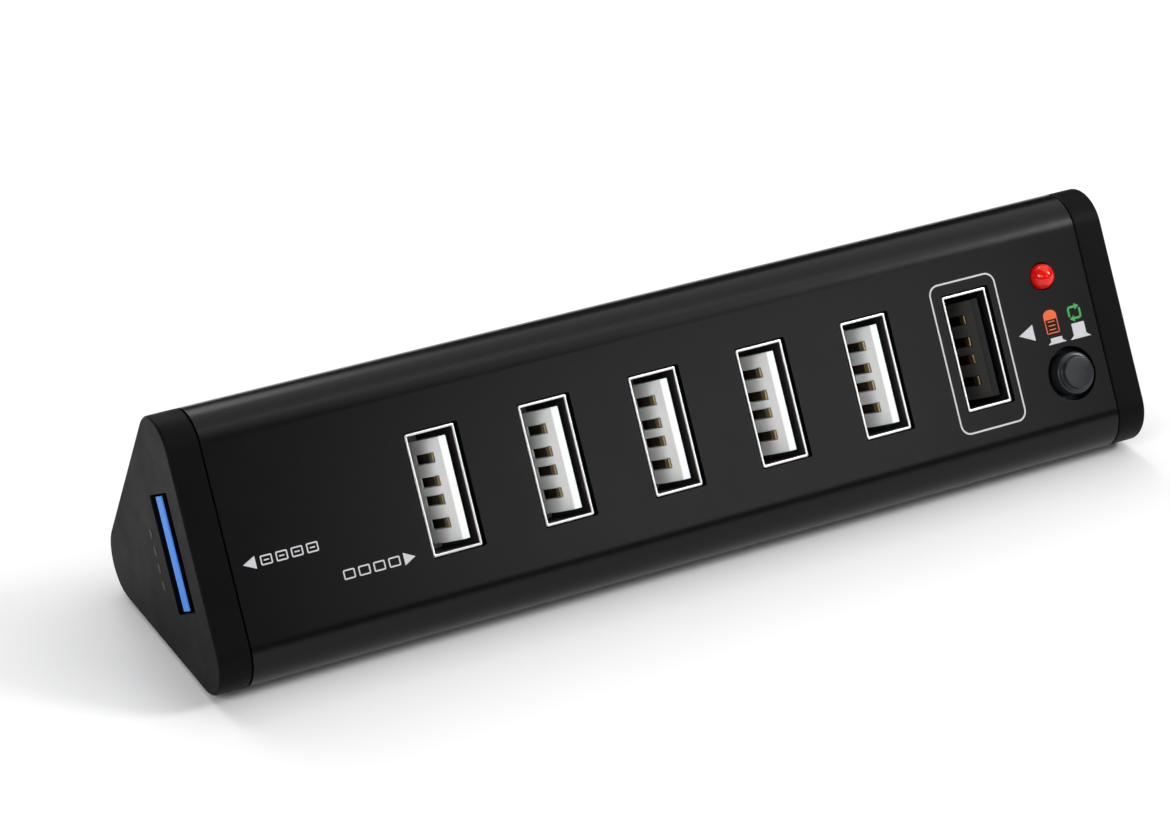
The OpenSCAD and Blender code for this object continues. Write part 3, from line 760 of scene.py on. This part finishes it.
def make_upstream():
    """Upstream socket with two tongues, and its strips of contacts."""
    low, high = face_box("upstream_shell")
    depth = high.x - low.x
    outer, inner = upstream_outline(0), upstream_outline(0.25)
    lip = 0.05
    rings = [level(outer, -depth), level(outer, -lip), level(inset(outer, lip), 0),
             level(inset(inner, -lip), 0), level(inner, -lip), level(inner, -depth)]
    shell = Shape().skin(rings, loop=True)
    count = len(outer)
    # The inner walls take the second material, the darker nickel, as painted shade
    for i in range(4 * count, 5 * count):
        shell.slots[i] = 1
    shell.prism(outer, -depth, -depth + 0.4)
    piece("upstream_metal", shell, UPSTREAM, [STEEL, STEEL_PAINTED_SHADE], ["upstream_shell"])
    floor = -depth + 0.55
    block = Shape().prism(upstream_outline(0.3), floor, floor + 1.5)
    block.block((-0.55, -5.4, floor + 1.4), (0.05, 0.7, floor + 5.2), 0.08)
    block.block((-0.55, 2.5, floor + 1.4), (0.05, 5.7, floor + 5.2), 0.08)
    piece("upstream_tongue", block, UPSTREAM, [BLACK_PLASTIC], ["upstream_insulator"])
    strips = Shape()
    for y in (-4.65, -3.35, -2.05, -0.75, 0.3, 2.9, 3.5, 4.1, 4.7, 5.3):
        strips.block((0.0, y - 0.15, floor + 1.45), (0.14, y + 0.15, floor + 4.9), 0.04)
    piece("upstream_springs", strips, UPSTREAM, [GOLD], ["upstream_contacts"])


def make_jack():
    """Round supply socket with a centre pin and a side spring."""
    depth = 9.5
    barrel = [(BARREL_R - 0.1, -depth), (BARREL_R, -depth + 0.1), (BARREL_R, -FLANGE_DEPTH)]
    flange = [(FLANGE_R - 0.1, -FLANGE_DEPTH), (FLANGE_R, -FLANGE_DEPTH + 0.1), (FLANGE_R, -0.15),
              (FLANGE_R - 0.15, 0)]
    body = Shape().lathe(barrel + flange)
    bore = Shape().lathe([(1.9, -depth + 1), (1.9, -0.2), (2.1, 0.01), (2.1, 1)])
    piece("dc_jack_barrel", cut(body, bore, edge=0.04), JACK, [BLACK_PLASTIC],
          ["dc_jack_body"])
    tip = [(0.5, -1.2), (0.46, -1.0), (0.36, -0.82), (0.2, -0.72), (0.02, -0.7)]
    pin = Shape().lathe([(0.5, -depth - 0.8)] + tip, 32)
    piece("dc_jack_centre", pin, JACK, [TINNED], ["dc_jack_pin"])
    path = [Vector((1.78 - 0.25 * bulge(t), -depth + 1.1 + 5.5 * t)) for t in steps_to(10)]
    leaf = Shape().ribbon(path, 0.14, -0.35, 0.35)
    leaf.block((1.6, -0.35, -depth - 0.8), (1.85, 0.35, -depth + 1.3), 0.03)
    piece("dc_jack_leaf", leaf, JACK, [TINNED], ["dc_jack_spring"])


# ---- Indicator and button ---------------------------------------------------------------------


def make_led():
    """Domed lens with a collar at its foot, behind the face."""
    seat, collar = -4.0, 1.9
    centre = LED_TOP - LED_R
    steps, short_of_pole = 15, 0.3
    profile = [(collar - 0.05, seat), (collar, seat + 0.06), (collar, seat + 0.94),
               (collar - 0.05, seat + 1), (LED_R, seat + 1), (LED_R, seat + 2.2), (LED_R, centre)]
    for k in range(1, steps + 1):
        a = math.pi / 2 * k / (steps + short_of_pole)
        profile.append((LED_R * math.cos(a), centre + LED_R * math.sin(a)))
    shape = Shape().lathe(profile, 56)
    piece("led_dome", shape, on_face_at(LED_AT), [RED_LENS], ["led_lens"], sharp=50)


def fillet(points, corner, radius, steps=4):
    """Curve that rounds one corner of a profile."""
    before, here, after = points[corner - 1], points[corner], points[corner + 1]
    start = here + (before - here).normalized() * radius
    end = here + (after - here).normalized() * radius
    curve = []
    for t in steps_to(steps):
        curve.append(start * (1 - t) ** 2 + here * 2 * t * (1 - t) + end * t ** 2)
    return curve


def soften(points, radii):
    """Profile with each inner corner rounded by its own radius."""
    result = [points[0]]
    for i in range(1, len(points) - 1):
        result += fillet(points, i, radii[i - 1]) if radii[i - 1] else [points[i]]
    return result + [points[-1]]


def make_button():
    """Cap with a flange below the face, a stepped top and a square socket for the plunger."""
    bottom, top = face_box("button_cap")[0].z, face_box("button_cap")[1].z
    flange, barrel, step, rim = 3.7, 2.4, 1.92, 1.78
    corners = [(flange - 0.1, bottom), (flange, bottom + 0.1), (flange, bottom + 0.9), (barrel, bottom + 1),
               (barrel, top - 0.66), (step, top - 0.54), (rim, top), (0.3, top)]
    profile = soften([Vector(c) for c in corners], [0, 0.08, 0.05, 0.2, 0.12, 0.1])
    body = Shape().lathe([(p.x, p.y) for p in profile], 72)
    socket = Shape().block((-1.25, -1.25, bottom - 1), (1.25, 1.25, -0.95), 0.02)
    piece("button_top", cut(body, socket, edge=0), on_face_at(BUTTON_AT), [BUTTON_PLASTIC],
          ["button_cap"], body=BUTTON)


def make_switch_coil():
    """Coil under the plunger. The real coil shortens by the button's travel as the button is pressed; this
    one keeps one length.
    """
    low, high = face_box("switch_spring")
    wire_radius, turns, steps = 0.16, 4.5, 18
    radius = (high.x - low.x) / 2 - wire_radius
    count = int(turns * steps)
    rings = []
    for i in range(count + 1):
        turn = 2 * math.pi * i / steps
        height = low.z + wire_radius + (high.z - low.z - 2 * wire_radius) * i / count
        wire = circle(wire_radius, 8, radius, height)
        rings.append([(p.x * math.cos(turn), p.x * math.sin(turn), p.y) for p in wire])
    where = on_face_at(BUTTON_AT)
    shape = Shape().skin(rings)
    coil = piece("switch_coil", shape, where, [SPRING_STEEL], ["switch_spring"])
    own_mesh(coil)


# ---- Printed marks ----------------------------------------------------------------------------

# Levels of the ink's two sides above the face. The marks' places are in the front face's frame.
INK_LOW, INK_HIGH = -0.01, 0.014


def ink(name, outlines, look, rings=()):
    """Thin printed layer on the front face: filled outlines, and rings given as (outer, inner)."""
    shape = Shape()
    for outline in outlines:
        shape.prism([Vector(p) for p in outline], INK_LOW, INK_HIGH)
    for outer, inner in rings:
        rims = [(outer, INK_LOW), (outer, INK_HIGH), (inner, INK_HIGH), (inner, INK_LOW)]
        shape.skin([level(outline, z) for outline, z in rims], loop=True)
    piece(name, shape, FACE, [look])


def arrow(x, u, length, height):
    """Triangle with its tip at (x, u), pointing left for a positive length."""
    return [(x, u), (x + length, u - height / 2), (x + length, u + height / 2)]


def cells(x, u, bars):
    """Row of four small open cells, with or without a bar in each."""
    rings, fills = [], []
    for k in range(4):
        middle = x + k * 1.72
        outer = rounded(0.66, 0.52, 0.16, 3, middle, u)
        rings.append((outer, inset(outer, 0.15)))
        if bars:
            fills.append(rounded(0.3, 0.07, 0.05, 2, middle, u))
    return rings, fills


def make_marks():
    """Outline of the charging port, arrows, rows of cells and the button's two states."""
    charge = PORT_MIDDLES[5]
    frame_outer = rounded(4.35, 8.58, 1.25, 10, charge.x + 0.06, PORT_U - 0.48)
    ink("charge_outline", [], WHITE_INK, [(frame_outer, inset(frame_outer, 0.2))])
    ink("charge_arrow", [arrow(97.06, 18.03, 2.0, 1.85)], WHITE_INK)

    rings, fills = cells(4.0, 15.6, True)
    ink("end_port_mark", [arrow(1.4, 15.6, 1.4, 1.35)] + fills, WHITE_INK, rings)
    rings, fills = cells(12.4, 11.95, False)
    ink("row_mark", [arrow(19.95, 11.95, -1.3, 1.35)], WHITE_INK, rings)

    low_hat = [(100.55, 16.2), (103.05, 16.2), (102.55, 16.52),
               (102.55, 16.9), (101.0, 16.9), (101.0, 16.52)]
    tall_hat = [(103.55, 16.15), (106.35, 16.15), (105.8, 16.55),
                (105.8, 17.92), (104.1, 17.92), (104.1, 16.55)]
    ink("button_in_mark", [low_hat], WHITE_INK)
    ink("button_out_mark", [tall_hat], WHITE_INK)
    make_battery()
    make_sync()


def make_battery():
    """Upright cell: a solid round top and a framed lower half with bars."""
    left, right, base, top = 100.72, 102.45, 17.4, 20.1
    middle, half = (left + right) / 2, (right - left) / 2
    waist = 19.0
    crown = 0.62
    dome = [(left, waist), (right, waist)]
    for k in range(13):
        a = math.pi * k / 12
        dome.append((middle + half * math.cos(a), top - crown + crown * math.sin(a)))
    line = 0.12
    walls = [
        [(left, base), (left + line, base), (left + line, waist), (left, waist)],
        [(right - line, base), (right, base), (right, waist), (right - line, waist)],
        [(left, base), (right, base), (right, base + line), (left, base + line)],
    ]
    bars = []
    for u in (17.85, 18.3, 18.75):
        near, far, below, above = middle - 0.45, middle + 0.45, u - line / 2, u + line / 2
        bars.append([(near, below), (far, below), (far, above), (near, above)])
    ink("battery_mark", [dome] + walls + bars, ORANGE_INK)


def make_sync():
    """Two hooked arrows that chase each other round a loop."""
    x, u = 104.85, 19.12
    side, rise, turn = 0.74, 0.66, 0.3
    hook = [Vector((-side, -0.42))]
    for k in range(7):
        a = math.radians(180 - 15 * k)
        hook.append(Vector((turn - side + turn * math.cos(a), rise - turn + turn * math.sin(a))))
    hook.append(Vector((0.18, rise)))
    head = [Vector((0.14, rise + 0.38)), Vector((0.14, rise - 0.38)), Vector((0.76, rise))]
    outlines = []
    for turned in (1, -1):
        for outline in (stroke(hook, 0.25), head):
            outlines.append([(x + turned * p.x, u + turned * p.y) for p in outline])
    ink("sync_mark", outlines, GREEN_INK)


# ---- Stage ------------------------------------------------------------------------------------

# The camera's place from the front face's lower left corner in millimetres, its angles left of the front
# and upwards in degrees, and the length of its lens
CAMERA_PLACE = (-124.8, -298.9, 210.8)
CAMERA_AZIMUTH = 28.39
CAMERA_ELEVATION = 28.51
CAMERA_LENS = 116.1

# Name, direction from the front face, distance and width in metres, power, and height where it isn't round
LIGHTS = [
    ("key", (0.71, -0.41, 0.57), 0.9, 0.26, 3.9, None),
    ("left", (-0.75, -0.40, 0.52), 0.9, 0.4, 2.7, None),
    ("fill", (-0.45, -0.72, 0.52), 0.9, 0.4, 0.9, None),
    ("top", (0.40, 0.20, 0.90), 0.9, 1.2, 4.3, None),
    ("back", (-0.10, 0.75, 0.65), 0.9, 0.8, 5.2, None),
    ("upper", (0.42, -0.45, 0.79), 0.65, 0.3, 0.45, 0.45),
    ("strip", (0.44, -0.82, 0.38), 0.4, 0.15, 0.11, 0.11),
]


def make_camera():
    """Long-lens camera that looks at the hub from the left and above."""
    corner = Vector((tube_low.x, -SIDE / 2 * MM, tube_low.z))
    data = bpy.data.cameras.new("camera")
    data.sensor_width = 36
    data.lens = CAMERA_LENS
    data.clip_start, data.clip_end = 0.05, 10
    camera = bpy.data.objects.new("camera", data)
    camera.location = corner + Vector(CAMERA_PLACE) * MM
    azimuth, elevation = math.radians(CAMERA_AZIMUTH), math.radians(CAMERA_ELEVATION)
    ahead = Vector((math.sin(azimuth) * math.cos(elevation), math.cos(azimuth) * math.cos(elevation),
                    -math.sin(elevation)))
    camera.rotation_mode = "QUATERNION"
    camera.rotation_quaternion = ahead.to_track_quat("-Z", "Y")
    bpy.context.scene.collection.objects.link(camera)
    bpy.context.scene.camera = camera


def soft_light(name, direction, distance, width, power, height):
    """Light that looks at the front face, right of its middle."""
    target = FACE @ Vector((TUBE_LENGTH * 0.6, SIDE / 2, 0))
    data = bpy.data.lights.new(name, "AREA")
    data.shape = "RECTANGLE" if height else "DISK"
    data.size = width
    if height:
        data.size_y = height
    data.energy = power
    light = bpy.data.objects.new(name, data)
    light.location = target + Vector(direction).normalized() * distance
    light.rotation_mode = "QUATERNION"
    light.rotation_quaternion = (-Vector(direction)).to_track_quat("-Z", "Y")
    bpy.context.scene.collection.objects.link(light)


def make_stage():
    """Pale floor, soft lights and a faint white surround."""
    data = bpy.data.meshes.new("floor")
    half = 3.0
    corners = [(-half, -half, 0), (half, -half, 0), (half, half, 0), (-half, half, 0)]
    data.from_pydata(corners, [], [(0, 1, 2, 3)])
    floor = bpy.data.objects.new("floor", data)
    bpy.context.scene.collection.objects.link(floor)
    paper = surface("floor_paper", [0.9, 0.9, 0.9], 0.9, variation=0.01, patch=60, grain=2, depth=0.05,
                    Specular_IOR_Level=0.1)
    floor.data.materials.append(paper)
    world = bpy.data.worlds.new("studio")
    bpy.context.scene.world = world
    world.use_nodes = True
    sky = world.node_tree.nodes["Background"]
    sky.inputs["Color"].default_value = (1, 1, 1, 1)
    sky.inputs["Strength"].default_value = 0.01
    for row in LIGHTS:
        soft_light(*row)
    bpy.context.scene.view_settings.view_transform = "Standard"


# ---- Build ------------------------------------------------------------------------------------

make_camera()
make_stage()
dress_cad_nodes()
make_housing()
make_left_cap()
make_right_cap()
make_feet()
make_ports()
make_fast_port()
make_upstream()
make_jack()
make_led()
make_button()
make_switch_coil()
make_marks()
